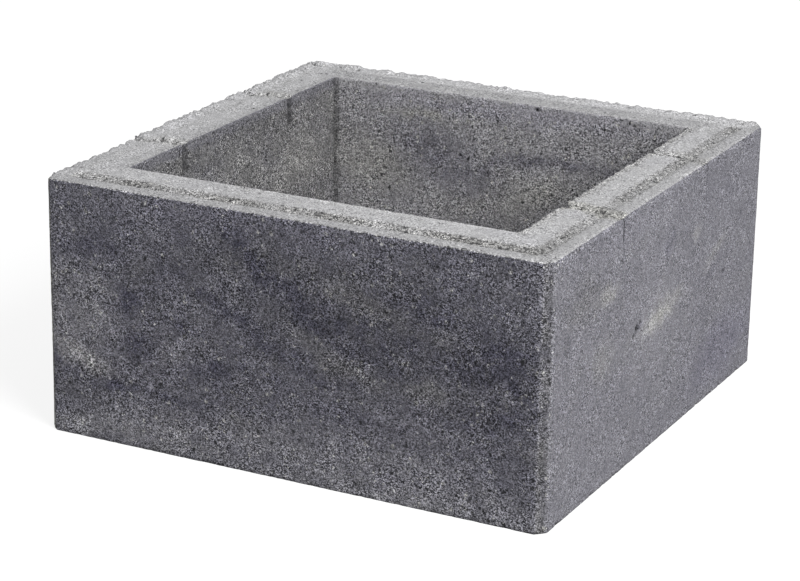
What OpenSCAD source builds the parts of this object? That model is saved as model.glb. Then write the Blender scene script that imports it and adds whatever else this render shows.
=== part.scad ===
// Hollow square concrete block, pressed and vibrated in one piece in a steel mould: plain walls round
// one open core, bevelled upright corners, a stepped rim, and the marks of the two bars that the core
// hung from. The origin is the middle of the bed, +Z is up, and the bars ran along X.

/* [Block] */
// Outside width and depth of the square plan
block_w = 390; // [290:5:590]
// Height from the bed to the land, the highest part of the rim
block_h = 190; // [120:5:290]
// Thickness of each wall, measured at the land
wall_t = 45; // [40:1:70]
// Leg of the bevel on the upright outer corners
corner_bevel = 6.5; // [3:0.5:12]

/* [Core opening] */
// How far each inner face leans in from the land down to the bed, so that the core draws upwards
core_draft = 1.5; // [0.5:0.25:5]
// Leg of the bevel in the upright inner corners
core_bevel = 2; // [1:0.5:10]

/* [Rim] */
// Width of the smooth ledge along the outer edge
ledge_w = 12; // [8:0.5:16]
// Width of the rough shoulder between the ledge and the land
shoulder_w = 10; // [5:0.5:15]
// Height of the land above the ledge
land_rise = 2; // [0.5:0.25:4]
// Leg of the blunted arris along the ledge's outer edge
arris = 1.5; // [0.5:0.25:3]

/* [Core bar marks] */
// Distance between the two core bars, centre to centre
bar_spacing = 154; // [60:2:180]
// Thickness of a core bar
bar_t = 8; // [4:0.5:11]
// How far a bar's lower edge lay below the land
bar_drop = 23; // [12:1:40]
// Width at the land of the dished groove that a bar left across a wall
groove_w = 12; // [11:0.5:20]
// Depth of that groove below the ledge
groove_d = 2; // [0.5:0.25:4]
// Depth of the slot that a bar left in an inner face
slot_d = 1.25; // [0.5:0.25:3]
// Width of the seam where the concrete closed over a bar's end on an outer face
seam_w = 1; // [0.5:0.25:3]
// Depth of that seam
seam_d = 1; // [0.5:0.25:3]

/* [Hidden] */
$fn = 64;

concrete = [0.37, 0.37, 0.39];

// How far a cutting shape runs past the face that it cuts
past = 10;

half_w = block_w / 2;
core_half = half_w - wall_t;
ledge_z = block_h - land_rise;

// A groove is part of a cylinder that dips below the ledge and is groove_w wide at the land
groove_depth = land_rise + groove_d;
groove_r = (groove_w * groove_w / 4 + groove_depth * groove_depth) / (2 * groove_depth);

// Half an upright section through the block, as [distance from the middle, height], bed to land
wall_side = [
    [half_w, 0],
    [half_w, ledge_z - arris],
    [half_w - arris, ledge_z],
    [half_w - ledge_w, ledge_z],
    [half_w - ledge_w - shoulder_w, block_h]
];

// The same for the core, carried on past the bed and the land at its own slope
function core_at(z) = core_half - core_draft * (block_h - z) / block_h;
core_side = [for (z = [-past, block_h + past]) [core_at(z), z]];

// Runs a section along Y, right through the block, with its other half mirrored
module run_through(side) {
    other_side = [for (i = [len(side) - 1 : -1 : 0]) [-side[i].x, side[i].y]];
    rotate([90, 0, 0])
        linear_extrude(2 * block_w, center = true)
            polygon(concat(side, other_side));
}

// A square solid whose four sides follow one section, with its upright corners bevelled
module four_sided(side, bevel) {
    diagonal = [for (p = side) [(2 * p.x - bevel) / sqrt(2), p.y]];
    intersection() {
        run_through(side);
        rotate(90) run_through(side);
        rotate(45) run_through(diagonal);
        rotate(-45) run_through(diagonal);
    }
}

// What one core bar left in the wall on the +X side, centred on the bar
module bar_mark() {
    translate([core_half - past, 0, block_h - groove_depth + groove_r])
        rotate([0, 90, 0])
            cylinder(r = groove_r, h = wall_t + 2 * past);
    translate([core_half - past, -bar_t / 2, block_h - bar_drop])
        cube([past + slot_d, bar_t, bar_drop + past]);
    translate([half_w - seam_d, -seam_w / 2, block_h - bar_drop])
        cube([seam_d + past, seam_w, bar_drop + past]);
}

module concrete_block() {
    color(concrete)
        difference() {
            four_sided(wall_side, corner_bevel);
            four_sided(core_side, core_bevel);
            for (side = [0, 1], bar = [-1, 1])
                mirror([side, 0, 0])
                    translate([0, bar * bar_spacing / 2, 0])
                        bar_mark();
        }
}

concrete_block();
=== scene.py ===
"""A hollow square concrete block, vibrated and pressed in one piece, with its finish and a plain studio.

The block is swept from one upright section, worn and pitted point by point, and coloured by a procedural
concrete. The file is laid out as an add-on and runs as a script. All lengths are in metres.
"""
import math
import random
from collections import namedtuple

import bmesh
import bpy
from bpy.props import FloatProperty, FloatVectorProperty, IntProperty, PointerProperty
from mathutils import Matrix, Vector, kdtree, noise


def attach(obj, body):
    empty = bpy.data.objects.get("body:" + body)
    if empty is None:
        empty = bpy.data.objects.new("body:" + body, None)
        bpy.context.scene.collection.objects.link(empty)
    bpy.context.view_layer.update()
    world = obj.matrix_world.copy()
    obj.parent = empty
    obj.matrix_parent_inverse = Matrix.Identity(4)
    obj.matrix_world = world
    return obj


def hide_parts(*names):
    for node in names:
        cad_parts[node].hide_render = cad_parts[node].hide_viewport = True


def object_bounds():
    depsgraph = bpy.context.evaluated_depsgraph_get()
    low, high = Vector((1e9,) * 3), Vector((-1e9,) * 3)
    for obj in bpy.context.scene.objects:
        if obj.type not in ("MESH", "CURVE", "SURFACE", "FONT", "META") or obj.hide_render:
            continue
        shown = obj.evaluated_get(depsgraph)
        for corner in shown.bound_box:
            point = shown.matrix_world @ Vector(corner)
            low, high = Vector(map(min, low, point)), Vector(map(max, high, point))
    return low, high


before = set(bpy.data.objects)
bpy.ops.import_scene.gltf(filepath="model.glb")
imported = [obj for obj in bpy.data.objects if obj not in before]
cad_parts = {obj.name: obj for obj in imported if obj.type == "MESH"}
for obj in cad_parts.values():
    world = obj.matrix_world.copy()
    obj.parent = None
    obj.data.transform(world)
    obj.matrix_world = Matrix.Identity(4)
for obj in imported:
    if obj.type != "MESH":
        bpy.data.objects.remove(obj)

CAD_LOW, CAD_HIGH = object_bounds()

bl_info = {
    "name": "Hollow Concrete Block",
    "version": (1, 0, 0),
    "blender": (4, 5, 0),
    "location": "View3D > Sidebar > Concrete Block",
    "description": "Casts a hollow square concrete block and sets up a plain studio round it",
    "category": "Add Mesh",
}

NODE = "concrete_block"
BODY = "root"
PIECE = "pressed_block"
MM = 0.001

# Points lower than the bed level lie on the bed, and bed points nearer than the merge distance become one
BED_LEVEL = 1e-7
MERGE_DISTANCE = 1e-6
TRIANGLE_LIMIT = 200000

# The rings of the block's section, in the order in which a line round the section meets them
(FOOT, WALL_FOOT, WALL_NECK, WALL_TOP, LEDGE_OUT, LEDGE_IN, LAND_OUT, LAND_IN, CORE_TOP, CORE_NECK, CORE_FOOT,
 BED_IN, CLOSED) = range(13)

# What is kept on each point of the mesh for the concrete's colour
LAYERS = ("rim", "open", "hole_shade", "tone", "skin", "warm", "grit")

# How far from the border of the rim's pale skin the distance is followed, in millimetres
RIM_SPAN = 12.0

# Where the shoulder is most pitted, by the front right corner, in millimetres
ROUGH_CORNER = (165, -178)

# Shift of the noise that opens patches of the walls, so that they don't follow the long waves
PATCH_SHIFT = Vector((3.1, 0.7, 5.2))

# The finish of the concrete: gloss, height of its bumps, and the power that evens its contrast to the eye
ROUGHNESS = 0.92
SPECULAR = 0.2
BUMP_HEIGHT = 0.0009
EYE_POWER = 2.2

# Cells of sand to the metre in the fine contrast of the mix
COARSE_SAND = 800.0
FINE_SAND = 1450.0

# Sand that has fallen out or shows pale: grains to the metre, the shares missing by strength and by
# openness, and the share that is pale by strength
Grains = namedtuple("Grains", "scale missing missing_open pale")
SMALL_GRAINS = Grains(700.0, 0.075, 0.32, 0.065)
LARGE_GRAINS = Grains(290.0, 0.02, 0.14, 0.05)

# The middle of a noise's colour
MIDDLE = (0.5, 0.5, 0.5)

# Width of the camera's sensor, in millimetres
SENSOR_WIDTH = 36.0

# The sweeps of pigment on each wall: middle along the wall and up it, half length and half width in
# millimetres, slope, curvature in 1/mm, and how much lighter and how much sandier they make the mix
SWEEPS = {
    "front": (
        (45, 124, 190, 60, -0.18, 0, -0.13, 0.45), (20, 14, 250, 40, 0, 0, 0.25, -0.1),
        (-168, 92, 66, 52, 0, 0, 0.24, 0), (-30, 178, 190, 17, 0, 0, 0.07, -0.6),
        (28, 122, 110, 20, -0.48, 0.003, -0.05, 0), (-12, 145, 54, 10, -0.66, 0.003, -0.15, 0),
        (36, 109, 95, 5, -0.45, 0.003, -0.06, 0), (70, 124, 60, 4, -0.30, 0.003, -0.08, 0),
        (-30, 162, 26, 12, -0.7, 0, -0.18, 0), (-30, 104, 72, 11, -0.52, 0.002, -0.18, 0),
        (-123, 108, 16, 13, 0.3, 0, -0.26, 0), (-116, 78, 14, 16, 0, 0, -0.16, 0),
        (-53, 70, 34, 10, 0.15, 0, -0.22, 0), (-150, 144, 44, 15, 0.1, 0, -0.14, 0),
        (105, 142, 36, 17, -0.2, 0, -0.12, 0), (165, 112, 60, 32, 0.15, 0, -0.20, 0.2),
        (150, 60, 70, 70, 0, 0, -0.04, 0), (165, 74, 45, 16, 0.3, 0, -0.15, 0.2),
        (-135, 44, 80, 6, -0.10, 0.0014, -0.26, 0), (-30, 10, 45, 7, 0, 0, -0.14, 0),
        (-170, 63, 32, 11, -0.22, 0, 0.46, 0.1), (-150, 58, 18, 9, -0.3, 0, 0.24, 0.1),
        (-150, 110, 22, 20, 0.2, 0, 0.08, 0.1), (-88, 76, 24, 13, 0.4, 0, 0.16, 0),
        (-84, 96, 15, 8, -0.2, 0, -0.2, 0), (36, 79, 38, 6, 0.18, 0, -0.13, 0),
        (55, 137, 48, 14, -0.4, 0.002, 0.08, 0.4), (40, 94, 58, 13, -0.3, 0.003, 0.08, 0.4),
        (110, 84, 30, 11, -0.1, 0, 0.12, 0.5), (90, 32, 90, 12, 0.1, 0, 0.08, 0),
        (125, 10, 110, 16, 0.05, 0, 0.14, 0), (-168, 8, 60, 13, 0.1, 0, 0.30, 0),
        (-100, 12, 90, 20, 0, 0, 0.13, 0),
    ),
    "right": (
        (-46, 99, 9, 5, 0.1, 0, -0.50, 0), (-3, 97, 60, 11, 0.1, 0, 0.46, 0.6),
        (-97, 139, 27, 11, 0.05, 0, 0.34, 0.55), (-140, 145, 60, 26, 0, 0, -0.03, 0.5),
        (-105, 95, 26, 20, 0.1, 0, 0.12, 0.4), (62, 142, 16, 8, 0, 0, 0.36, 0.4),
        (105, 114, 40, 7, 0.30, 0, 0.13, 0.5), (98, 102, 44, 5, 0.32, 0, -0.12, 0),
        (12, 144, 16, 9, 0, 0, -0.26, 0), (-173, 122, 16, 9, 0.1, 0, -0.19, 0.4),
        (-150, 153, 60, 6, 0, 0, -0.13, 0), (125, 34, 95, 36, 0.1, 0, -0.06, -0.9),
        (-60, 172, 110, 12, 0, 0, 0.08, -0.3), (-20, 90, 80, 60, 0, 0, 0.10, 0),
    ),
    "back inside": (
        (45, 148, 100, 7, 0.05, -0.0026, -0.50, -0.3), (-52, 136, 76, 30, -0.3, 0, -0.42, -0.3),
        (-115, 126, 50, 34, -0.1, 0, 0.12, 0.5), (20, 116, 65, 22, 0.2, 0, 0.10, 0.5),
        (0, 182, 200, 14, 0, 0, 0.10, -0.9), (-70, 170, 80, 3, 0, 0, 0.18, 0.8),
    ),
    "left inside": (
        (95, 135, 60, 32, 0, 0, 0.15, 0.4), (40, 150, 26, 12, -0.3, 0, -0.15, 0),
        (-40, 162, 30, 13, 0, 0, -0.12, 0), (-105, 158, 26, 14, 0, 0, 0.10, 0.3),
    ),
}

# The larger holes in the faces: place and radius, in millimetres
HOLES = (((195, -46, 99), 3.2), ((195, -51, 95), 2.4), ((195, -41, 102), 2.2))


def length(name, description, default):
    """A length that the user can set."""
    return FloatProperty(
        name=name, description=description, default=default, min=0, unit="LENGTH", precision=5)


def position(name, description, default):
    """A place that the user can set."""
    return FloatVectorProperty(
        name=name, description=description, default=default, subtype="TRANSLATION", unit="LENGTH")


def colour(name, description, default):
    """A colour that the user can set, as linear red, green and blue."""
    return FloatVectorProperty(
        name=name, description=description, default=default, size=3, min=0, max=1, subtype="COLOR")


def amount(name, description, default, top=100):
    """A plain number that the user can set."""
    return FloatProperty(name=name, description=description, default=default, min=0, max=top)


def walls(name, description, default):
    """Four numbers that the user can set: for the front, right, back and left wall."""
    return FloatVectorProperty(name=name, description=description, default=default, size=4, min=-2, max=2)


class BlockSizes(bpy.types.PropertyGroup):
    """The section of the block and the marks of the bars that its core hung from."""

    half: length("Half width", "Middle of the block to an outer face", CAD_HIGH.x)
    height: length("Height", "Bed to land", CAD_HIGH.z)
    wall: length("Wall", "Thickness of each wall at the land", 0.045)
    corner: length("Corner bevel", "Leg of the bevel on the upright outer corners", 0.0065)
    core_corner: length("Core corner bevel", "Leg of the bevel in the upright inner corners", 0.002)
    draft: length("Draft", "How far each inner face leans in at the bed", 0.0015)
    ledge: length("Ledge", "Width of the smooth ledge along the outer edge", 0.012)
    shoulder: length("Shoulder", "Width of the rough slope between ledge and land", 0.010)
    land_rise: length("Land rise", "Height of the land above the ledge", 0.002)
    arris: length("Arris", "Leg of the blunted outer edge of the ledge", 0.001)
    core_arris: length("Core arris", "Leg of the blunted inner edge of the land", 0.0004)
    neck: length("Neck", "Height of the finer mesh below the rim", 0.006)
    foot_arris: length("Foot arris", "Leg of the blunted edges round the bed", 0.0006)
    bar_spacing: length("Bar spacing", "Distance between the two core bars", 0.154)
    bar_width: length("Bar width", "Thickness of a core bar", 0.008)
    bar_drop: length("Bar drop", "How far a bar's lower edge lay below the land", 0.023)
    groove: length("Groove width", "Width of the groove that a bar left across a wall", 0.012)
    groove_depth: length("Groove depth", "Depth of that groove below the ledge", 0.002)
    slot_depth: length("Slot depth", "Depth of the slot that a bar left in an inner face", 0.00125)
    seam: length("Seam width", "Width of the closed seam at a bar's end", 0.001)
    seam_depth: length("Seam depth", "Depth of that seam", 0.001)
    column_step: length("Column step", "Spacing of the mesh round the block", 0.0016)
    wall_step: length("Wall step", "Spacing of the mesh up the walls", 0.0022)
    rim_step: length("Rim step", "Spacing of the mesh across the rim", 0.001)
    arris_step: length("Arris step", "Spacing of the mesh at the edges", 0.0005)
    bed_step: length("Bed step", "Spacing of the mesh across the bed", 0.006)
    triangles: IntProperty(
        name="Triangles", description="Most triangles in the finished mesh", default=198000)


class BlockRelief(bpy.types.PropertyGroup):
    """How rough, chipped and pitted the cast surface is."""

    wave: length("Wave", "Height of the long unevenness of the faces", 0.0001)
    grain: length("Grain", "Height of the sandy grain", 0.00012)
    chip: length("Chip", "Depth of the chips along the edges", 0.0011)
    crumb: length("Crumb", "Height of the crumbs along the ledge", 0.0019)
    hole: length("Hole", "Depth of the holes in the shoulder", 0.0012)
    pores: IntProperty(name="Pores", description="Number of air holes in the faces", default=220)
    pore_low: length("Smallest pore", "Radius of the smallest air hole", 0.0008)
    pore_high: length("Largest pore", "Radius of the largest air hole", 0.0018)
    seed: IntProperty(name="Seed", description="Start of the random draws", default=7)


class ConcreteColours(bpy.types.PropertyGroup):
    """The colours of the shaded concrete, and how light each wall is: partly the mix, partly painted light
    and shade.
    """

    dark: colour("Dark pigment", "Blue-black pigment in the darkest swirls", (0.064, 0.063, 0.087))
    light: colour("Light grey", "Grey of the cement in the lightest swirls", (0.268, 0.265, 0.281))
    warm: colour("Warm tint", "Tint of the sandier patches", (0.985, 0.985, 0.87))
    cool: colour("Cool tint", "Tint of the bluer patches", (0.94, 0.93, 1.0))
    rim: colour("Rim", "Pale cement skin on the rim", (0.52, 0.518, 0.528))
    rim_shade: colour("Rim shade", "Duller patches of that skin", (0.28, 0.279, 0.285))
    # Darkening where the rim is rough: partly sandier crumbs, partly painted shade of the open texture
    rim_open: colour("Open tint", "Tint of the sandy crumbs where the rim is rough", (0.77, 0.765, 0.74))
    # Painted shade: the near-black colour painted into holes, pores, pits, cracks, seams and crevices
    hole_shade: colour("Hollows", "Shade of holes and cracks", (0.022, 0.022, 0.024))
    speck: colour("Specks", "Pale sand grains", (0.40, 0.395, 0.37))
    # The outer and inner face tones are partly the mix's own lightness and partly painted light and shade:
    # the front darker than the right, the left inner face darker, the inner back face lighter
    outside: walls("Outside tones", "Lightness of the mix on the outer faces", (0.275, 0.555, 0.48, 0.53))
    inside: walls("Inside tones", "Lightness of the mix on the inner faces", (0.58, 0.58, 1.02, 0.37))
    ledge: walls("Ledge tones", "Lightness of the cement skin on the ledge", (0.36, 0.33, 0.72, 0.52))
    # The darker shoulder tones on the front and right walls are partly a duller skin, partly painted shade of
    # the rough open texture
    shoulder: walls(
        "Shoulder tones", "Lightness of the cement skin on the shoulder", (0.22, 0.10, 1.05, 1.05))
    land: walls("Land tones", "Lightness of the cement skin on the land", (0.60, 0.60, 0.32, 0.62))
    outside_warm: walls("Outside warmth", "Sandiness of the mix on the outer faces", (0.0, -0.15, 0.2, 0.2))
    inside_warm: walls("Inside warmth", "Sandiness of the mix on the inner faces", (0.5, 0.5, 0.05, 0.9))
    outside_grit: walls("Outside grit", "Contrast of the sand on the outer faces", (1.0, 0.72, 0.8, 0.8))
    inside_grit: walls("Inside grit", "Contrast of the sand on the inner faces", (0.8, 0.8, 0.85, 1.12))
    rim_grit: walls("Rim grit", "Contrast of the sand where the rim is smooth", (0.44, 0.42, 0.46, 0.48))
    open_grit: amount("Open grit", "Contrast of the sand where the rim is rough", 1.0)


class StudioSettings(bpy.types.PropertyGroup):
    """The floor, the light and the camera."""

    floor: colour("Floor", "Colour of the floor", (0.35, 0.35, 0.35))
    floor_seen: colour("Seen floor", "Colour of the floor as the camera sees it", (0.9, 0.9, 0.9))
    floor_size: length("Floor size", "Width of the floor", 14.0)
    lift: amount("Backdrop lift", "How far the camera sees the floor as plain white", 0.75, 1)
    backdrop: amount("Backdrop", "Brightness of that white", 1.12)
    sky: amount("Sky", "Strength of the light from all round", 0.42)
    key: amount("Key power", "Power of the soft box, in watts", 264.0, 2000)
    key_size: length("Key size", "Width of the soft box", 2.2)
    key_place: position("Key place", "Middle of the soft box", (3.48, -1.64, 2.88))
    camera_place: position("Camera place", "Where the camera stands", (0.84, -1.6714, 0.715))
    camera_turn: FloatVectorProperty(
        name="Camera turn", description="How the camera is turned", subtype="EULER", unit="ROTATION",
        default=[math.radians(angle) for angle in (71.247, -0.908, 27.341)])
    lens: FloatProperty(name="Lens", description="Focal length in millimetres", default=120.39, min=1)


def smoothstep(low, high, value):
    """0 below low, 1 above high, and a smooth rise between them. Low may be the greater."""
    share = min(1.0, max(0.0, (value - low) / (high - low)))
    return share * share * (3 - 2 * share)


def rough(point, size, octaves=2):
    """Fractal noise from about -1 to 1 whose largest features have that size."""
    return noise.fractal(point / size, 0.8, 2.0, octaves)


def section_rings(sizes):
    """Half width, corner bevel and height of each ring, in the order of the ring names."""
    core = sizes.half - sizes.wall
    ledge_z = sizes.height - sizes.land_rise
    foot = sizes.foot_arris
    drawn = core - sizes.draft
    return [
        (sizes.half - foot, sizes.corner, 0.0),
        (sizes.half, sizes.corner, foot),
        (sizes.half, sizes.corner, ledge_z - sizes.neck),
        (sizes.half, sizes.corner, ledge_z - sizes.arris),
        (sizes.half - sizes.arris, sizes.corner, ledge_z),
        (sizes.half - sizes.ledge, sizes.corner, ledge_z),
        (sizes.half - sizes.ledge - sizes.shoulder, sizes.corner, sizes.height),
        (core + sizes.core_arris, sizes.core_corner, sizes.height),
        (core, sizes.core_corner, sizes.height - sizes.core_arris),
        (core - sizes.draft * sizes.neck / sizes.height, sizes.core_corner, sizes.height - sizes.neck),
        (drawn, sizes.core_corner, foot),
        (drawn + foot, sizes.core_corner, 0.0),
        (sizes.half - foot, sizes.corner, 0.0),
    ]


def add_columns(bm, normal, distance):
    """Cuts the plan ring where a plane crosses it."""
    bmesh.ops.bisect_plane(bm, geom=bm.verts[:] + bm.edges[:], plane_co=Vector(normal) * distance,
                           plane_no=normal)


def plan_ring(bm, sizes):
    """Draws the outer plan as one closed ring of edges, bevelled at the corners and cut into columns."""
    bmesh.ops.create_circle(bm, cap_ends=True, radius=sizes.half * math.sqrt(2), segments=4,
                            matrix=Matrix.Rotation(math.pi / 4, 4, "Z"))
    bmesh.ops.bevel(bm, geom=bm.verts[:], offset=sizes.corner, offset_type="OFFSET", affect="VERTICES",
                    segments=1, profile=0.5, material=-1)
    bmesh.ops.delete(bm, geom=bm.faces[:], context="FACES_ONLY")
    sides = [edge for edge in bm.edges if edge.calc_length() > sizes.half]
    bevels = [edge for edge in bm.edges if edge.calc_length() < sizes.half]
    side_cuts = round(2 * (sizes.half - sizes.corner) / sizes.column_step) - 1
    bmesh.ops.subdivide_edges(bm, edges=sides, cuts=side_cuts)
    bmesh.ops.subdivide_edges(bm, edges=bevels, cuts=round(sizes.corner * math.sqrt(2) / sizes.column_step))
    straight = sizes.half - sizes.corner
    # Finer columns along the seams and on both sides of the bevels' edges
    for side in (-1, 1):
        for offset in (-1.4, -0.5, 0.5, 1.4):
            add_columns(bm, (0, 1, 0), side * (sizes.bar_spacing / 2 + offset * sizes.seam))
        for offset in (-1, 1):
            add_columns(bm, (0, 1, 0), side * (straight + offset * sizes.arris_step))
            add_columns(bm, (1, 0, 0), side * (straight + offset * sizes.arris_step))


def sweep_section(bm, sizes):
    """Extrudes the plan ring through every ring of the section and closes it on itself."""
    along_x = bm.verts.layers.float.new("along_x")
    along_y = bm.verts.layers.float.new("along_y")
    section = bm.verts.layers.float.new("section")
    for vert in bm.verts:
        vert[along_x] = vert.co.x
        vert[along_y] = vert.co.y
    straight = sizes.half - sizes.corner

    def placed(value, half, corner):
        """A coordinate of the plan ring, moved to a ring of another half width and bevel."""
        if abs(value) <= straight:
            return value * (half - corner) / straight
        return math.copysign(half - corner + (abs(value) - straight) * corner / sizes.corner, value)

    def place(verts, number):
        """Moves points onto one ring of the section."""
        half, corner, z = rings[number]
        for vert in verts:
            vert.co = (placed(vert[along_x], half, corner), placed(vert[along_y], half, corner), z)
            vert[section] = number

    rings = section_rings(sizes)
    place(bm.verts, FOOT)
    edges = bm.edges[:]
    bands = []
    for number in range(WALL_FOOT, CLOSED + 1):
        made = bmesh.ops.extrude_edge_only(bm, edges=edges)["geom"]
        verts = {item for item in made if isinstance(item, bmesh.types.BMVert)}
        made_edges = [item for item in made if isinstance(item, bmesh.types.BMEdge)]
        edges = [edge for edge in made_edges if verts.issuperset(edge.verts)]
        place(verts, number)
        bands.append([edge for edge in bm.edges if len(verts.intersection(edge.verts)) == 1])
    # The spacing of the mesh from each ring to the next
    steps = [sizes.arris_step, sizes.wall_step, sizes.rim_step, sizes.arris_step, sizes.rim_step,
             sizes.rim_step, sizes.rim_step, sizes.arris_step, sizes.rim_step, sizes.wall_step,
             sizes.arris_step, sizes.bed_step]
    for number, (band, step) in enumerate(zip(bands, steps)):
        (half_a, _, z_a), (half_b, _, z_b) = rings[number], rings[number + 1]
        cuts = max(1, round(math.hypot(half_b - half_a, z_b - z_a) / step) - 1)
        bmesh.ops.subdivide_edges(bm, edges=band, cuts=cuts)
    bed = [vert for vert in bm.verts if vert.co.z < BED_LEVEL]
    bmesh.ops.remove_doubles(bm, verts=bed, dist=MERGE_DISTANCE)
    bmesh.ops.recalc_face_normals(bm, faces=bm.faces[:])


class Spot:
    """A point of the surface, where it lies on the section, and how much it belongs to each wall."""

    def __init__(self, point, section, sizes):
        self.point = point
        self.section = section
        lean = smoothstep(-4 * MM, 4 * MM, abs(point.x) - abs(point.y))
        self.front = (1 - lean) if point.y < 0 else 0.0
        self.back = (1 - lean) if point.y > 0 else 0.0
        self.left = lean if point.x < 0 else 0.0
        self.right = lean if point.x > 0 else 0.0
        self.on_rim = LEDGE_OUT <= section <= LAND_IN
        self.on_outside = section < LEDGE_OUT
        self.on_inside = section > LAND_IN
        self.wide = max(abs(point.x), abs(point.y))
        self.narrow = min(abs(point.x), abs(point.y))
        self.bevel_gap = self.narrow - sizes.half + sizes.corner
        self.bar_gap = abs(abs(point.y) - sizes.bar_spacing / 2)

    def by_wall(self, front, right, back, left):
        """The value for the wall that the point is on, blended at the corners."""
        return front * self.front + right * self.right + back * self.back + left * self.left

    def share(self, first, last):
        """How far the point is from one ring to the next, kept from 0 to 1."""
        return min(1.0, max(0.0, (self.section - first) / (last - first)))


def edge_gap(spot, sizes):
    """Distance from the outer top edge, measured along the surface."""
    if spot.section < WALL_TOP:
        return sizes.height - sizes.land_rise - sizes.arris - spot.point.z
    if spot.section <= LEDGE_OUT:
        return 0.0
    if spot.section <= LEDGE_IN:
        return spot.share(LEDGE_OUT, LEDGE_IN) * (sizes.ledge - sizes.arris)
    return sizes.half


def core_gap(spot, sizes):
    """Distance from the land's inner edge, measured along the surface."""
    if LAND_OUT < spot.section < LAND_IN:
        return (1 - spot.share(LAND_OUT, LAND_IN)) * (sizes.wall - sizes.ledge - sizes.shoulder)
    if LAND_IN <= spot.section <= CORE_TOP:
        return 0.0
    if CORE_TOP < spot.section <= CORE_FOOT:
        return sizes.height - spot.point.z
    return sizes.half


def pit(point, size, threshold):
    """Depth from 0 to 1 of scattered round pits, one in each cell of that size above the threshold."""
    distances, centres = noise.voronoi(point / size)
    if noise.cell(centres[0] * 7.3) < threshold:
        return 0.0
    return smoothstep(0.55, 0.1, distances[0])


class Wear:
    """What casting and wear did at one point: depth behind the mould, lift, openness, and painted shade for
    holes, pits and cracks.
    """

    def __init__(self, deep):
        self.deep = deep
        self.lift = 0.0
        self.open = 0.0
        self.hole_shade = 0.0

    def add(self, deep, openness=0.0, hole_shade=0.0):
        """Adds a mark at the same point."""
        self.deep += deep
        self.open = max(self.open, openness)
        self.hole_shade = max(self.hole_shade, hole_shade)


def worn(spot, sizes, relief):
    """All marks at one point of the surface."""
    point = spot.point
    calm = 0.6 if spot.on_rim else 1.0
    wave = relief.wave * (1 + noise.noise(point / 0.08))
    wear = Wear(calm * (wave + relief.grain * (0.7 + rough(point, 4.5 * MM))))
    if not spot.on_rim:
        patch = smoothstep(0.0, 0.5, noise.noise(point / 0.026 + PATCH_SHIFT))
        wear.add(0.35 * MM * patch * max(0.0, rough(point, 2.8 * MM, 3)), (0.5 - 0.2 * spot.right) * patch)
    mark_shoulder(wear, spot, relief)
    wear_outer_edge(wear, spot, sizes, relief)
    crumble_core_edge(wear, spot, sizes, relief)
    wear_upright_corner(wear, spot, sizes)
    if spot.left + spot.right > 0.5:
        mark_bar(wear, spot, sizes)
    if spot.on_outside:
        foot = smoothstep(4.5 * MM, 0, point.z) * max(0.0, 1.6 * rough(point, 7 * MM, 3))
        foot *= smoothstep(sizes.half - sizes.corner, sizes.half - 3 * sizes.corner, spot.narrow)
        # Chips along the foot, with painted shade in the deepest
        wear.add(1.2 * relief.chip * foot, 0.0, 0.35 * smoothstep(0.5, 1.2, foot))
    return wear


def ragged_section(spot):
    """Where a point lies on the section, with a ragged shift so that no border is a straight line."""
    return spot.section + 0.08 * rough(spot.point, 6 * MM)


def shoulder_share(spot):
    """How much a point belongs to the slope between ledge and land."""
    place = ragged_section(spot)
    past_ledge = smoothstep(LEDGE_IN - 0.12, LEDGE_IN + 0.18, place)
    return past_ledge * smoothstep(LAND_OUT + 0.08, LAND_OUT - 0.3, place)


def mark_shoulder(wear, spot, relief):
    """Roughens and pits the slope between ledge and land, most of all on the front and right walls."""
    share = shoulder_share(spot) * spot.by_wall(1.0, 0.75, 0.15, 0.2)
    if share <= 0:
        return
    point = spot.point
    by_corner = smoothstep(45 * MM, 15 * MM, (point.xy - Vector(ROUGH_CORNER) * MM).length)
    patchy = max(smoothstep(-0.5, 0.4, noise.noise(point / 0.018)), by_corner)
    holes = pit(point, 3.0 * MM, 0.2) * patchy * share
    crumbs = 0.3 * MM * share * (0.8 + rough(point, 2.4 * MM))
    ditch = 0.6 * MM * share * smoothstep(0.35, 0, abs(spot.section - LEDGE_IN - 0.2))
    # The shoulder's holes get painted shade
    wear.add(relief.hole * holes + crumbs + ditch,
             share * (0.55 + 0.45 * patchy), 0.9 * min(1.0, 1.6 * holes))


def wear_outer_edge(wear, spot, sizes, relief):
    """Nicks and blunts the outer top edge, and makes the ledge of the left and back walls uneven."""
    gap = edge_gap(spot, sizes)
    if gap > 12 * MM:
        return
    point = spot.point
    chipped = smoothstep(3 * MM, 0, gap) * max(0.0, rough(point, 3 * MM, 3) + 0.02)
    near = smoothstep(185 * MM, 140 * MM, point.y)
    blunted = smoothstep(2.6 * MM, 0, gap) * spot.by_wall(0.1, 0.15 + 0.75 * near, 0.25, 0.25)
    nick = spot.by_wall(0.65, 0.15, 0.8, 0.8) * chipped
    # Deep nicks get painted shade
    wear.add(relief.chip * nick + 0.8 * MM * blunted, 0.3 * chipped, 0.6 * smoothstep(0.12, 0.5, nick))
    behind = smoothstep(-2 * MM, 2 * MM, point.y + sizes.bar_spacing / 2 - 1.5 * MM * rough(point, 5 * MM))
    raised = 1.3 + 0.7 * smoothstep(80 * MM, 170 * MM, point.x)
    level = spot.left * (-0.4 + 1.7 * behind) + spot.back * raised
    drawn_out = Vector((
        point.x + 0.7 * (spot.left + spot.right) * (math.copysign(sizes.half, point.x) - point.x),
        point.y + 0.7 * (spot.front + spot.back) * (math.copysign(sizes.half, point.y) - point.y),
        point.z,
    ))
    crumbs = relief.crumb * spot.by_wall(0.15, 0.0, 0.75, 1.0) * rough(drawn_out, 5 * MM, 4)
    wear.lift = (level * MM + crumbs) * smoothstep(11 * MM, 4 * MM, gap)


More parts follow.
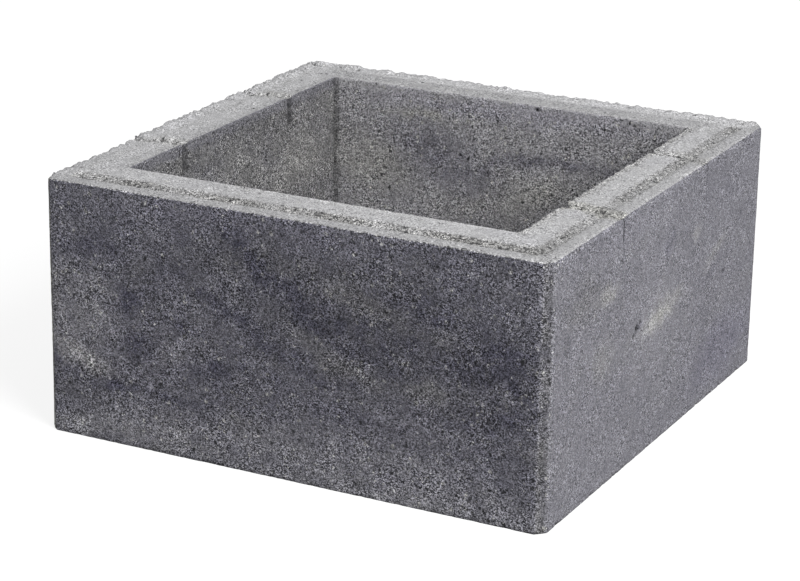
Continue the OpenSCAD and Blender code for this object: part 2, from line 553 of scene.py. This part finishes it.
def crumble_core_edge(wear, spot, sizes, relief):
    """Crumbled edge of the land along the core, worst on the right wall."""
    gap = core_gap(spot, sizes)
    if gap > 11 * MM:
        return
    reach = spot.by_wall(5, 9, 5, 5) * MM
    crumbly = smoothstep(reach, 1 * MM, gap + 1.8 * MM * rough(spot.point, 7 * MM))
    crumbly *= spot.by_wall(0.1, 0.7, 0.1, 0.1)
    wear.add(relief.chip * crumbly * (0.15 + 1.4 * rough(spot.point, 3.2 * MM, 3)), crumbly)


def wear_upright_corner(wear, spot, sizes):
    """Blunts the edges of the outer corner bevels, and roughens the core's corners and paints shade into
    their crevices.
    """
    point = spot.point
    if spot.section <= LEDGE_OUT:
        left_front = point.x < 0 and point.y < 0 and abs(point.x) > abs(point.y)
        reach = 5 * MM if left_front else 2.6 * MM
        depth = (0.6 + 1.6 * point.z / sizes.height) * MM if left_front else 0.3 * MM
        wear.add(smoothstep(reach, 0, abs(spot.bevel_gap)) * depth)
    elif spot.on_inside and spot.wide < sizes.half - sizes.ledge:
        # Painted shade in the crevices of the core's corners, broken up and stronger near the top; the
        # corners are also rougher
        corner = smoothstep(4.2 * MM, 1.6 * MM, spot.wide - spot.narrow + 1.8 * MM * rough(point, 6 * MM))
        broken = smoothstep(-0.1, 0.6, rough(point, 6 * MM, 3))
        upper = 0.5 + 0.5 * smoothstep(110 * MM, 165 * MM, point.z)
        wear.add(0, corner, corner * (0.55 + 0.4 * broken * upper))


def mark_bar(wear, spot, sizes):
    """The groove, slot and seam that a core bar left in a side wall."""
    ragged = spot.bar_gap + 1.3 * MM * rough(spot.point, 5 * MM)
    below = sizes.height - spot.point.z
    if LEDGE_OUT - 0.5 <= spot.section <= CORE_TOP:
        mark_groove(wear, spot, sizes, ragged, below)
    elif spot.on_inside:
        mark_slot(wear, spot, sizes, ragged, below)
    else:
        mark_seam(wear, spot, sizes, below)


def mark_groove(wear, spot, sizes, ragged, below):
    """The dished, pitted groove across the rim, shallower and cracked at the far end of the right wall."""
    point = spot.point
    far_right = spot.right if point.y > 0 else 0.0
    dish = smoothstep(sizes.groove / 2, 2.5 * MM, ragged) * (1 - 0.4 * far_right)
    level = sizes.groove_depth + max(0.0, sizes.land_rise - below)
    holes = dish * max(pit(point, 4.4 * MM, -0.4), pit(point, 2.6 * MM, 0.0)) * (1 - 0.6 * far_right)
    wander = 1.5 * MM * rough(point, 9 * MM)
    crack = smoothstep(1.4 * MM, 0.6 * MM, abs(spot.bar_gap + wander)) * far_right
    wear.lift *= 1 - dish
    wear.add(0, 0.8 * bar_strip(spot))
    # The groove's holes and the far crack get painted shade
    wear.add(level * dish * (0.6 + 0.5 * rough(point, 3.5 * MM, 3)), dish * (1 - 0.5 * spot.left),
             max(min(0.85, 1.2 * holes), 0.9 * crack))


def mark_slot(wear, spot, sizes, ragged, below):
    """The slot in the inner face, and the open trace below it."""
    point = spot.point
    slot = smoothstep(sizes.bar_width / 2 + 0.8 * MM, sizes.bar_width / 2 - 0.8 * MM, ragged)
    trace = 0.6 * slot * smoothstep(sizes.bar_drop + 18 * MM, sizes.bar_drop, below)
    slot *= smoothstep(sizes.bar_drop + 1.5 * MM, sizes.bar_drop - 1.5 * MM, below)
    holes = max(slot, trace) * pit(point, 2.6 * MM, -0.2)
    # The slot and its holes get painted shade
    wear.add(sizes.slot_depth * slot * (0.8 + 0.6 * rough(point, 3 * MM, 3)), max(slot, trace),
             0.5 * slot + 0.45 * min(1.0, 1.7 * holes))


def mark_seam(wear, spot, sizes, below):
    """The seam in the outer face and the trace below it, both painted with shade and fainter at the far bar.
    """
    line = smoothstep(sizes.seam * 1.6, sizes.seam * 0.7, spot.bar_gap)
    seam = line * smoothstep(sizes.bar_drop, sizes.bar_drop - 4 * MM, below)
    trace = line * smoothstep(90 * MM, 30 * MM, below)
    faint = 0.4 if spot.point.y > 0 else 1.0
    # The seam and its trace get painted shade
    wear.add(sizes.seam_depth * seam * faint, 0.0, max(seam, 0.3 * trace) * faint)


def scatter_pores(bm, relief):
    """Picks air holes over the surface: a tree of their places and a list of their radii."""
    draw = random.Random(relief.seed)
    places = sorted(vert.co.to_tuple(6) for vert in bm.verts)
    tree = kdtree.KDTree(relief.pores + len(HOLES))
    radii = []
    for number in range(relief.pores):
        tree.insert(places[draw.randrange(len(places))], number)
        radii.append(relief.pore_low + (relief.pore_high - relief.pore_low) * draw.random() ** 3)
    for place, radius in HOLES:
        tree.insert(Vector(place) * MM, len(radii))
        radii.append(radius * MM)
    tree.balance()
    return tree, radii


def sweep_mix(wall, along, up):
    """How much lighter and sandier the sweeps of one wall make the mix at a place in millimetres."""
    tone = 0.0
    warm = 0.0
    for middle, height, reach, width, tilt, bend, lighter, sandier in SWEEPS[wall]:
        offset = along - middle
        if abs(offset) < reach:
            level = up - height - offset * (tilt + bend * offset)
            share = smoothstep(1.0, 0.15, math.hypot(offset / reach, level / width))
            tone += lighter * share
            warm += sandier * share
    return Vector((tone, warm, 0))


def wall_mix(spot, sizes, colours):
    """The mix on a wall: lightness, from dark pigment at 0 to light grey at 1, with painted light and shade
    on the faces, bevels and foot, sandiness and contrast.
    """
    point = spot.point
    stirred = point + noise.noise_vector(point / 0.035) * 0.007 + noise.noise_vector(point / 0.009) * 0.005
    x, y, up = stirred / MM
    patchy = max(0.1, 1 + 0.9 * rough(point, 7 * MM))
    if spot.section > LAND_OUT:
        sweeps = spot.back * sweep_mix("back inside", x, up) + spot.left * sweep_mix("left inside", y, up)
        skin = smoothstep(9 * MM, 6 * MM, sizes.height - point.z + 2 * MM * rough(point, 12 * MM))
        # The inner faces' tones are partly painted light and shade: the back inner face lighter, the left
        # inner face darker
        return (spot.by_wall(*colours.inside) + sweeps.x * patchy + spot.by_wall(0, 0, 0.3, 0.05) * skin,
                spot.by_wall(*colours.inside_warm) * (1 - 0.7 * skin) + sweeps.y,
                spot.by_wall(*colours.inside_grit) * (1 - 0.4 * skin))
    bevel = smoothstep(0, 1.2 * MM, spot.bevel_gap)
    side = smoothstep(sizes.half - 1.6 * MM, sizes.half - 0.5 * MM, abs(point.x))
    # Painted highlight: a pale line along both edges of each outer corner bevel, where the edge catches the
    # light
    painted_edge_highlight = smoothstep(1.5 * MM, 0.4 * MM, abs(spot.bevel_gap))
    # Painted light on the bevels: the front left bevel much lighter, as if lit by light thrown up from the
    # floor, the other bevels a touch darker as painted shade
    bevel_painted_light = 0.45 if point.x < 0 and point.y < 0 else -0.05
    # Each outer face's tone is partly painted light and shade, with the front darker than the right
    front, right, back, left = colours.outside
    plain = side * (right if point.x > 0 else left)
    plain += (1 - side) * ((front if point.y < 0 else back) + bevel_painted_light * bevel) + 0.1 * painted_edge_highlight
    sweeps = spot.front * sweep_mix("front", x, up) + spot.right * sweep_mix("right", y, up)
    # The walls that the photo doesn't show repeat the sweeps of those across, a little fainter
    sweeps += 0.8 * (spot.back * sweep_mix("front", -x, up) + spot.left * sweep_mix("right", -y, up))
    # Painted light: the mix a little lighter along the foot, as if lit by light thrown up from the floor
    foot = smoothstep(5 * MM, 1 * MM, point.z + 2 * MM * rough(point, 9 * MM))
    return (plain + sweeps.x * patchy + 0.12 * foot,
            spot.by_wall(*colours.outside_warm) + sweeps.y + 0.8 * bevel * (1 - side),
            spot.by_wall(*colours.outside_grit))


def bar_strip(spot):
    """How much a point belongs to the sandy strips that the bars left across the rim of the side walls."""
    near = spot.right * (0.4 if spot.point.y > 0 else 1.0)
    inner = 0.5 * spot.left * smoothstep(LEDGE_IN - 0.5, LEDGE_IN + 0.3, spot.section)
    return (near + inner) * smoothstep(13 * MM, 7 * MM, spot.bar_gap + 4 * MM * rough(spot.point, 8 * MM))


def rim_mix(spot, sizes, colours, openness):
    """The cement skin on the rim: lightness from its duller shade at 0, with painted light along the land's
    inner edge and partly painted shade on the shoulder; sandiness, and contrast.
    """
    ragged = ragged_section(spot)
    shoulder = smoothstep(LEDGE_IN - 0.12, LEDGE_IN + 0.18, ragged)
    land = smoothstep(LAND_OUT - 0.25, LAND_OUT + 0.1, ragged)
    tone = spot.by_wall(*colours.ledge) * (1 - shoulder)
    tone += spot.by_wall(*colours.shoulder) * (shoulder - land)
    tone += spot.by_wall(*colours.land) * land
    # Painted light along the land's inner edge: lighter on the front and back walls, where the edge catches
    # the light; darker on the left wall and a touch darker on the right
    core_edge_painted_light = smoothstep(spot.by_wall(5, 7, 6, 14) * MM, 1 * MM, core_gap(spot, sizes))
    tone += core_edge_painted_light * spot.by_wall(0.22, -0.05, 0.3, -0.3)
    grit = spot.by_wall(*colours.rim_grit)
    strip = bar_strip(spot)
    return tone, 0.25 * strip, grit + (colours.open_grit - grit) * max(openness, 0.5 * strip)


def rim_gap(spot, sizes):
    """Distance in millimetres from the border of the rim's pale cement skin, below 0 on the walls."""
    outer = (spot.share(WALL_TOP, LEDGE_OUT) - 0.5) * math.sqrt(2) * sizes.arris
    outer += math.copysign(edge_gap(spot, sizes), spot.section - WALL_TOP)
    inner = (0.5 - spot.share(LAND_IN, CORE_TOP)) * math.sqrt(2) * sizes.core_arris
    inner += math.copysign(core_gap(spot, sizes), LAND_IN - spot.section)
    ragged = 1.8 * max(0.0, rough(spot.point, 6 * MM))
    inner -= MM * spot.by_wall(0.0, ragged, 2.5, 1.5)
    border = outer - 1 * MM * spot.right if spot.section < LAND_OUT else inner
    return min(RIM_SPAN, max(-RIM_SPAN, border / MM))


def keeps_detail(spot, sizes):
    """Whether the mesh stays fine here: at the rim's edges and shoulder, bar marks and core corners."""
    if spot.left + spot.right > 0.5 and spot.bar_gap < 8 * MM and spot.section < BED_IN:
        return sizes.height - spot.point.z < 40 * MM
    if CORE_TOP < spot.section < CORE_FOOT and spot.wide - spot.narrow < 5 * MM:
        return True
    if LEDGE_IN - 0.1 < spot.section < LAND_OUT + 0.1:
        return spot.front + spot.right > 0.5
    return WALL_TOP - 0.2 < spot.section < LEDGE_OUT + 0.2 or LAND_IN - 0.1 < spot.section < CORE_TOP + 0.1


def wear_surface(bm, sizes, relief, colours):
    """Moves every point behind the mould's face and keeps on it what the concrete's colour depends on."""
    # Without a seed, vector noise would differ from run to run
    noise.seed_set(relief.seed)
    section = bm.verts.layers.float["section"]
    layers = {name: bm.verts.layers.float.new(name) for name in LAYERS}
    groups = bm.verts.layers.deform.verify()
    bm.normal_update()
    pore_tree, pore_radii = scatter_pores(bm, relief)
    moves = []
    for vert in bm.verts:
        spot = Spot(vert.co.copy(), vert[section] % CLOSED, sizes)
        wear = worn(spot, sizes, relief)
        _, number, gap = pore_tree.find(vert.co)
        gap *= 1 + 0.5 * rough(vert.co, 2 * MM)
        if gap < pore_radii[number]:
            bowl = 1 - (gap / pore_radii[number]) ** 2
            # Pores get painted shade in their bowls
            wear.add(0.8 * pore_radii[number] * bowl, 0.5, min(0.95, 1.6 * bowl))
        openness = min(1.0, wear.open)
        tone, warm, grit = wall_mix(spot, sizes, colours)
        skin, rim_warm, rim_grit = rim_mix(spot, sizes, colours, openness)
        if spot.on_rim:
            warm = rim_warm
            grit = rim_grit
        values = (rim_gap(spot, sizes), openness, wear.hole_shade, tone, skin, warm, grit)
        for name, value in zip(LAYERS, values):
            vert[layers[name]] = value
        if gap < 1.7 * pore_radii[number] or keeps_detail(spot, sizes):
            vert[groups][0] = 1.0
        moved = vert.co - vert.normal * wear.deep + Vector((0, 0, wear.lift))
        # The bed stays flat, and only its outer edge moves sideways
        if vert.co.z < BED_LEVEL:
            moved = Vector((moved.x, moved.y, 0)) if spot.section < WALL_FOOT else vert.co.copy()
        moves.append(moved)
    for vert, moved in zip(bm.verts, moves):
        vert.co = moved
    keep_in_mould(bm.verts, sizes)


def keep_in_mould(verts, sizes):
    """Pushes points back that lie outside the mould."""
    for vert in verts:
        vert.co = (
            min(sizes.half, max(-sizes.half, vert.co.x)),
            min(sizes.half, max(-sizes.half, vert.co.y)),
            min(sizes.height, max(0.0, vert.co.z)),
        )


def node(tree, kind, inputs=None, **settings):
    """Adds a shader node, sets it up, and links or fills its inputs."""
    made = tree.nodes.new(kind)
    for name, value in settings.items():
        setattr(made, name, value)
    for key, value in (inputs or {}).items():
        if isinstance(value, bpy.types.NodeSocket):
            tree.links.new(value, made.inputs[key])
        else:
            made.inputs[key].default_value = value
    return made


def calc(tree, operation, first, second=0.0, third=0.0):
    """A Math node's result."""
    return node(tree, "ShaderNodeMath", {0: first, 1: second, 2: third}, operation=operation).outputs[0]


def vector_calc(tree, operation, first, second=(0, 0, 0), third=(0, 0, 0)):
    """A Vector Math node's vector."""
    inputs = {0: first, 1: second, 2: third}
    return node(tree, "ShaderNodeVectorMath", inputs, operation=operation).outputs["Vector"]


def ramp(tree, value, low, high, bottom=0.0, top=1.0):
    """A value mapped smoothly from one range to another."""
    inputs = {"Value": value, "From Min": low, "From Max": high, "To Min": bottom, "To Max": top}
    return node(tree, "ShaderNodeMapRange", inputs, interpolation_type="SMOOTHSTEP").outputs["Result"]


def mixed(tree, share, first, second, mode="MIX", clamped=True):
    """Two colours mixed by a share, which is kept from 0 to 1 if clamped."""
    inputs = {0: share, 6: first, 7: second}
    settings = {"data_type": "RGBA", "blend_type": mode, "clamp_factor": clamped}
    return node(tree, "ShaderNodeMix", inputs, **settings).outputs[2]


def noise_at(tree, vector, scale, detail=2.0, roughness=0.5):
    """A Noise Texture's outputs."""
    inputs = {"Vector": vector, "Scale": scale, "Detail": detail, "Roughness": roughness}
    return node(tree, "ShaderNodeTexNoise", inputs).outputs


def grains_at(tree, vector, scale):
    """A random number for each grain of that scale, and the distance from the grain's middle."""
    grains = node(tree, "ShaderNodeTexVoronoi", {"Vector": vector, "Scale": scale}).outputs
    return node(tree, "ShaderNodeSeparateColor", {0: grains["Color"]}).outputs[0], grains["Distance"]


def shader_group(name, inputs, outputs):
    """Starts a shader node group with named sockets: the group, what it is given and what it puts out."""
    tree = bpy.data.node_groups.new(name, "ShaderNodeTree")
    for socket_name, kind in inputs.items():
        tree.interface.new_socket(socket_name, in_out="INPUT", socket_type=kind)
    for socket_name in outputs:
        tree.interface.new_socket(socket_name, in_out="OUTPUT", socket_type="NodeSocketFloat")
    return tree, tree.nodes.new("NodeGroupInput").outputs, tree.nodes.new("NodeGroupOutput").inputs


def chosen_grains(tree, vector, grains, strength, openness):
    """The grains that are missing and those that are pale, as two masks."""
    chance, middle = grains_at(tree, vector, grains.scale)
    size = ramp(tree, middle, 0.52, 0.25)
    closed = calc(tree, "MULTIPLY_ADD", strength, -grains.missing, 1.0)
    limit = calc(tree, "MULTIPLY_ADD", openness, -grains.missing_open, closed)
    missing = calc(tree, "GREATER_THAN", chance, limit)
    pale = calc(tree, "LESS_THAN", chance, calc(tree, "MULTIPLY", strength, grains.pale))
    return calc(tree, "MULTIPLY", missing, size), calc(tree, "MULTIPLY", pale, size)


def sand_grain_group():
    """Sand and tiny voids in the surface: a tone about 0, voids that the material paints as shade, pale
    specks and a height.
    """
    tree, given, result = shader_group(
        "sand grain",
        {"Vector": "NodeSocketVector", "Openness": "NodeSocketFloat", "Grit": "NodeSocketFloat"},
        ["Tone", "Voids", "Specks", "Height"])
    place = given["Vector"]
    coarse, _ = grains_at(tree, place, COARSE_SAND)
    fine, _ = grains_at(tree, place, FINE_SAND)
    tone = calc(tree, "MULTIPLY_ADD", calc(tree, "SUBTRACT", coarse, 0.5), 0.45,
                calc(tree, "MULTIPLY", calc(tree, "SUBTRACT", fine, 0.5), 2.05))
    clusters = ramp(tree, noise_at(tree, place, 55.0, 4.0, 0.65)["Fac"], 0.33, 0.67, 0.6, 1.4)
    strength = calc(tree, "MULTIPLY", clusters, given["Grit"])
    tree.links.new(calc(tree, "MULTIPLY", tone, strength), result["Tone"])
    fray = vector_calc(tree, "SUBTRACT", noise_at(tree, place, 380.0, 3.0, 0.7)["Color"], MIDDLE)
    frayed = vector_calc(tree, "MULTIPLY_ADD", fray, (0.006, 0.006, 0.006), place)
    small = chosen_grains(tree, place, SMALL_GRAINS, strength, given["Openness"])
    large = chosen_grains(tree, frayed, LARGE_GRAINS, strength, given["Openness"])
    for name, first, second in zip(("Voids", "Specks"), small, large):
        tree.links.new(calc(tree, "MAXIMUM", first, second), result[name])
    lumps = noise_at(tree, place, COARSE_SAND, 2.0, 0.7)["Fac"]
    tree.links.new(calc(tree, "MULTIPLY_ADD", coarse, 0.35, lumps), result["Height"])
    return tree


def pigment_tone(tree, stirred, wall, grit):
    """How light the mix is: the wall's own tone, long swirls and finer mottling."""
    slant = (math.radians(-14), math.radians(10), 0)
    drawn = node(tree, "ShaderNodeMapping", {"Vector": stirred, "Rotation": slant, "Scale": (12, 12, 34)})
    swirl = calc(tree, "SUBTRACT", noise_at(tree, drawn.outputs[0], 1.0, 5.0, 0.6)["Fac"], 0.5)
    mottle = calc(tree, "SUBTRACT", noise_at(tree, stirred, 85.0, 4.0, 0.7)["Fac"], 0.5)
    cloud = calc(tree, "MULTIPLY_ADD", mottle, 0.5, calc(tree, "MULTIPLY", swirl, 0.4))
    return calc(tree, "MULTIPLY_ADD", cloud, calc(tree, "MULTIPLY_ADD", grit, 0.8, 0.15), wall)


def rgba(values):
    """A colour property as a node's colour."""
    return (*values, 1.0)


def attribute(tree, name):
    """A number kept on the mesh."""
    return node(tree, "ShaderNodeAttribute", attribute_name=name).outputs["Fac"]


def concrete_material(colours):
    """Shaded grey concrete: pigment swirls, sand, pale cement skin on the rim, painted shade in the holes."""
    made = bpy.data.materials.new("shaded_concrete")
    made.use_nodes = True
    tree = made.node_tree
    shader = tree.nodes["Principled BSDF"]
    place = node(tree, "ShaderNodeTexCoord").outputs["Object"]
    # The rim's pale skin, with a frayed border
    frayed = calc(tree, "SUBTRACT", noise_at(tree, place, 330.0, 3.0, 0.7)["Fac"], 0.5)
    rim = ramp(tree, calc(tree, "MULTIPLY_ADD", frayed, 2.4, attribute(tree, "rim")), -0.3, 0.3)
    openness = attribute(tree, "open")

    # The pigmented mix of the walls, the skin of the rim, and their sandier and bluer patches
    stir = vector_calc(tree, "SUBTRACT", noise_at(tree, place, 13.0, 4.0, 0.6)["Color"], MIDDLE)
    stirred = vector_calc(tree, "MULTIPLY_ADD", stir, (0.045, 0.045, 0.035), place)
    lightness = attribute(tree, "tone")
    grit = attribute(tree, "grit")
    tone = calc(tree, "MAXIMUM", pigment_tone(tree, stirred, lightness, grit), 0.0)
    body = mixed(tree, tone, rgba(colours.dark), rgba(colours.light), clamped=False)
    blotch = calc(tree, "SUBTRACT", noise_at(tree, place, 70.0, 4.0, 0.65)["Fac"], 0.5)
    skin_tone = calc(tree, "MULTIPLY_ADD", blotch, 0.9, attribute(tree, "skin"))
    skin = mixed(tree, skin_tone, rgba(colours.rim_shade), rgba(colours.rim))
    # Rough, open skin darkened: partly sandy crumbs, partly painted shade
    skin = mixed(tree, openness, skin, rgba(colours.rim_open), "MULTIPLY")
    base = mixed(tree, rim, body, skin)
    sandy = ramp(tree, noise_at(tree, stirred, 22.0, 4.0, 0.6)["Fac"], 0.48, 0.7, 0.0, 0.3)
    sandy = calc(tree, "MULTIPLY", sandy, calc(tree, "MULTIPLY_ADD", rim, -1.0, grit))
    warmth = calc(tree, "ADD", attribute(tree, "warm"), sandy)
    base = mixed(tree, warmth, base, rgba(colours.warm), "MULTIPLY")
    base = mixed(tree, calc(tree, "MULTIPLY", warmth, -1.0), base, rgba(colours.cool), "MULTIPLY")

    # Pale specks, the contrast of the sand, then painted shade in voids and holes
    grain = node(tree, "ShaderNodeGroup", {"Vector": place, "Openness": openness, "Grit": grit},
                 node_tree=sand_grain_group())
    bright = calc(tree, "MULTIPLY_ADD", lightness, 0.55, 0.3)
    base = mixed(tree, calc(tree, "MULTIPLY", grain.outputs["Specks"], bright), base, rgba(colours.speck))
    seen = calc(tree, "MAXIMUM", calc(tree, "MULTIPLY_ADD", grain.outputs["Tone"], 0.55, 1.0), 0.2)
    factor = calc(tree, "POWER", seen, EYE_POWER)
    factor_colour = node(tree, "ShaderNodeCombineColor", {key: factor for key in range(3)}).outputs[0]
    base = mixed(tree, 1.0, base, factor_colour, "MULTIPLY")
    # Painted shade: voids and holes are painted near black
    voids = calc(tree, "MULTIPLY", grain.outputs["Voids"], 0.9)
    holes = calc(tree, "MAXIMUM", attribute(tree, "hole_shade"), voids)
    base = mixed(tree, holes, base, rgba(colours.hole_shade))
    tree.links.new(base, shader.inputs["Base Color"])
    shader.inputs["Roughness"].default_value = ROUGHNESS
    shader.inputs["Specular IOR Level"].default_value = SPECULAR

    height = calc(tree, "MULTIPLY_ADD", grain.outputs["Voids"], -1.2, grain.outputs["Height"])
    strength = calc(tree, "MULTIPLY_ADD", rim, -0.4, 0.8)
    bump = node(tree, "ShaderNodeBump", {"Strength": strength, "Distance": BUMP_HEIGHT, "Height": height})
    tree.links.new(bump.outputs["Normal"], shader.inputs["Normal"])
    return made


def floor_material(studio):
    """A pale floor that the camera sees as near white, with the object's shadow still on it."""
    made = bpy.data.materials.new("pale_floor")
    made.use_nodes = True
    tree = made.node_tree
    tree.nodes.remove(tree.nodes["Principled BSDF"])
    camera = node(tree, "ShaderNodeLightPath").outputs["Is Camera Ray"]
    matt = node(tree, "ShaderNodeBsdfDiffuse",
                {"Color": mixed(tree, camera, rgba(studio.floor), rgba(studio.floor_seen))}).outputs[0]
    white = node(tree, "ShaderNodeEmission", {"Color": (1, 1, 1, 1), "Strength": studio.backdrop}).outputs[0]
    share = calc(tree, "MULTIPLY", camera, studio.lift)
    surface = node(tree, "ShaderNodeMixShader", {0: share, 1: matt, 2: white}).outputs[0]
    tree.links.new(surface, tree.nodes["Material Output"].inputs["Surface"])
    return made


def add_object(name, data):
    """A new object in the scene."""
    made = bpy.data.objects.new(name, data)
    bpy.context.scene.collection.objects.link(made)
    return made


class OBJECT_OT_cast_concrete_block(bpy.types.Operator):
    """Cast the block: sweep its section, wear its surface and give it the concrete finish"""

    bl_idname = "object.cast_concrete_block"
    bl_label = "Cast concrete block"

    def execute(self, context):
        sizes = context.scene.block_sizes
        bm = bmesh.new()
        plan_ring(bm, sizes)
        sweep_section(bm, sizes)
        wear_surface(bm, sizes, context.scene.block_relief, context.scene.concrete_colours)
        mesh = bpy.data.meshes.new(PIECE)
        bmesh.ops.triangulate(bm, faces=bm.faces[:])
        count = len(bm.faces)
        bm.to_mesh(mesh)
        bm.free()
        piece = add_object(PIECE, mesh)
        thin = piece.modifiers.new("thin", "DECIMATE")
        thin.ratio = min(1.0, sizes.triangles / count)
        # The points in the group are the last to go
        thin.vertex_group = piece.vertex_groups.new(name="fine detail").name
        thin.invert_vertex_group = True
        with context.temp_override(object=piece, active_object=piece):
            bpy.ops.object.modifier_apply(modifier=thin.name)
        piece.vertex_groups.clear()
        keep_in_mould(piece.data.vertices, sizes)
        piece.data.shade_smooth()
        if len(piece.data.polygons) > TRIANGLE_LIMIT:
            raise RuntimeError(f"the block has {len(piece.data.polygons)} triangles")
        piece.data.materials.append(concrete_material(context.scene.concrete_colours))
        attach(piece, BODY)
        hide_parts(NODE)
        return {"FINISHED"}


class SCENE_OT_set_block_stage(bpy.types.Operator):
    """Set the stage: a pale floor, soft light and the camera"""

    bl_idname = "scene.set_block_stage"
    bl_label = "Set block stage"

    def execute(self, context):
        studio = context.scene.block_studio
        bm = bmesh.new()
        bmesh.ops.create_grid(bm, x_segments=1, y_segments=1, size=studio.floor_size / 2)
        mesh = bpy.data.meshes.new("floor")
        bm.to_mesh(mesh)
        bm.free()
        mesh.materials.append(floor_material(studio))
        floor = add_object("floor", mesh)

        world = bpy.data.worlds.new("studio")
        world.use_nodes = True
        tree = world.node_tree
        path = node(tree, "ShaderNodeLightPath").outputs
        seen = calc(tree, "MAXIMUM", path["Is Camera Ray"],
                    calc(tree, "MAXIMUM", path["Is Glossy Ray"], path["Is Transmission Ray"]))
        strength = node(tree, "ShaderNodeMapRange", {"Value": seen, "To Min": studio.sky, "To Max": 1.0})
        tree.nodes["Background"].inputs["Color"].default_value = (1, 1, 1, 1)
        tree.links.new(strength.outputs["Result"], tree.nodes["Background"].inputs["Strength"])
        context.scene.world = world

        key = bpy.data.lights.new("key_softbox", "AREA")
        key.energy = studio.key
        key.size = studio.key_size
        lamp = add_object("key_softbox", key)
        lamp.location = studio.key_place
        lamp.rotation_euler = (-Vector(studio.key_place)).to_track_quat("-Z", "Y").to_euler()

        camera = bpy.data.cameras.new("camera")
        camera.lens = studio.lens
        camera.sensor_fit = "HORIZONTAL"
        camera.sensor_width = SENSOR_WIDTH
        stand = add_object("camera", camera)
        stand.location = studio.camera_place
        stand.rotation_euler = studio.camera_turn
        context.scene.camera = stand
        context.scene.view_settings.view_transform = "Standard"
        return {"FINISHED"}


class VIEW3D_PT_concrete_block(bpy.types.Panel):
    """The block's settings and operators"""

    bl_idname = "VIEW3D_PT_concrete_block"
    bl_label = "Concrete Block"
    bl_space_type = "VIEW_3D"
    bl_region_type = "UI"
    bl_category = "Concrete Block"

    def draw(self, context):
        for name, operator in (("block_sizes", None), ("block_relief", None),
                               ("concrete_colours", OBJECT_OT_cast_concrete_block),
                               ("block_studio", SCENE_OT_set_block_stage)):
            settings = getattr(context.scene, name)
            for key in settings.bl_rna.properties.keys():
                if key not in ("rna_type", "name"):
                    self.layout.prop(settings, key)
            if operator:
                self.layout.operator(operator.bl_idname)


SETTINGS = {
    "block_sizes": BlockSizes,
    "block_relief": BlockRelief,
    "concrete_colours": ConcreteColours,
    "block_studio": StudioSettings,
}
CLASSES = (
    *SETTINGS.values(),
    OBJECT_OT_cast_concrete_block,
    SCENE_OT_set_block_stage,
    VIEW3D_PT_concrete_block,
)


def register():
    """Registers the classes and puts the settings on the scene."""
    for kind in CLASSES:
        bpy.utils.register_class(kind)
    for name, kind in SETTINGS.items():
        setattr(bpy.types.Scene, name, PointerProperty(type=kind))


def unregister():
    """Takes the settings and the classes away again."""
    for name in SETTINGS:
        delattr(bpy.types.Scene, name)
    for kind in reversed(CLASSES):
        bpy.utils.unregister_class(kind)


def main():
    """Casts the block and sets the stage."""
    register()
    bpy.ops.object.cast_concrete_block()
    bpy.ops.scene.set_block_stage()


if __name__ == "__main__":
    main()
